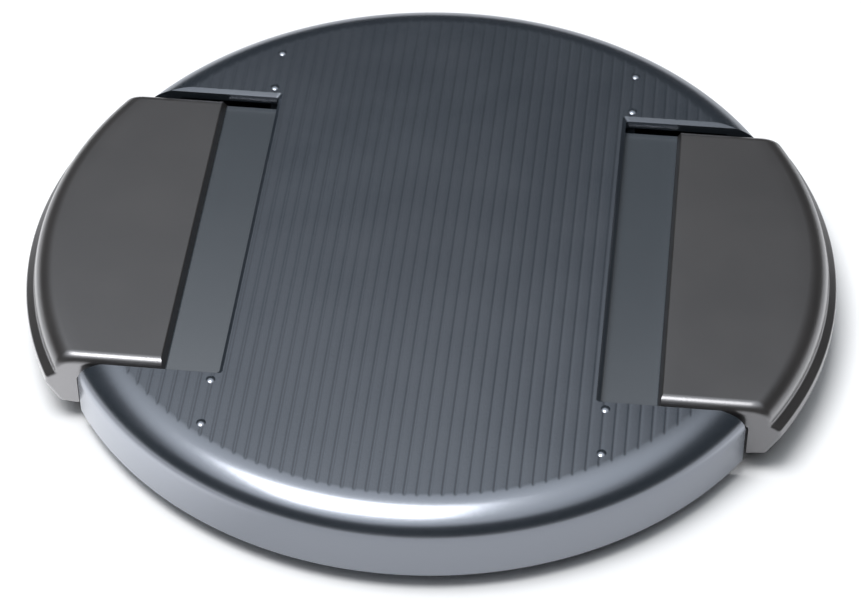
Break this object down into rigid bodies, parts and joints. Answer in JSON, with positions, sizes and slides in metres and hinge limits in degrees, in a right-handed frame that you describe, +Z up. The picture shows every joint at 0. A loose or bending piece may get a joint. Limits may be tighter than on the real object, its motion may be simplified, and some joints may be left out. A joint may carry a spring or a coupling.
{
  "type": "camera lens cap",
  "caption": "Round clip-in lens cap with side-pinch tabs: spring-loaded claws catch a lens's filter thread and let go when the tabs are squeezed together.",
  "frame": {"origin": "middle of the round cap, on the flat surface that its locating ring rests on", "axes": "+Z up out of the face, +X from the left tab to the right tab, +Y along the tabs' straight edges, away from the viewer"},
  "size_m": [0.0654, 0.0614, 0.0074],
  "materials": {
    "shell_plastic": "satin black moulding with a blue cast",
    "tab_plastic": "fine matte black moulding",
    "plate_plastic": "plain matte black moulding",
    "spring_steel": "bright drawn wire"
  },
  "bodies": {
    "cap": {"front_shell": "shell_plastic", "back_plate": "plate_plastic", "spring_left_near": "spring_steel", "spring_left_far": "spring_steel", "spring_right_near": "spring_steel", "spring_right_far": "spring_steel"},
    "left_tab": {"left_tab": "tab_plastic"},
    "right_tab": {"right_tab": "tab_plastic"}
  },
  "joints": [
    {"name": "left_press", "type": "slide", "parent": "cap", "child": "left_tab", "axis": [1, 0, 0], "range_m": [0, 0.0022], "stiffness_N_per_m": 800, "springref_m": -0.002, "deforming": ["spring_left_near", "spring_left_far"]},
    {"name": "right_press", "type": "slide", "parent": "cap", "child": "right_tab", "axis": [-1, 0, 0], "range_m": [0, 0.0022], "stiffness_N_per_m": 800, "springref_m": -0.002, "deforming": ["spring_right_near", "spring_right_far"]}
  ]
}
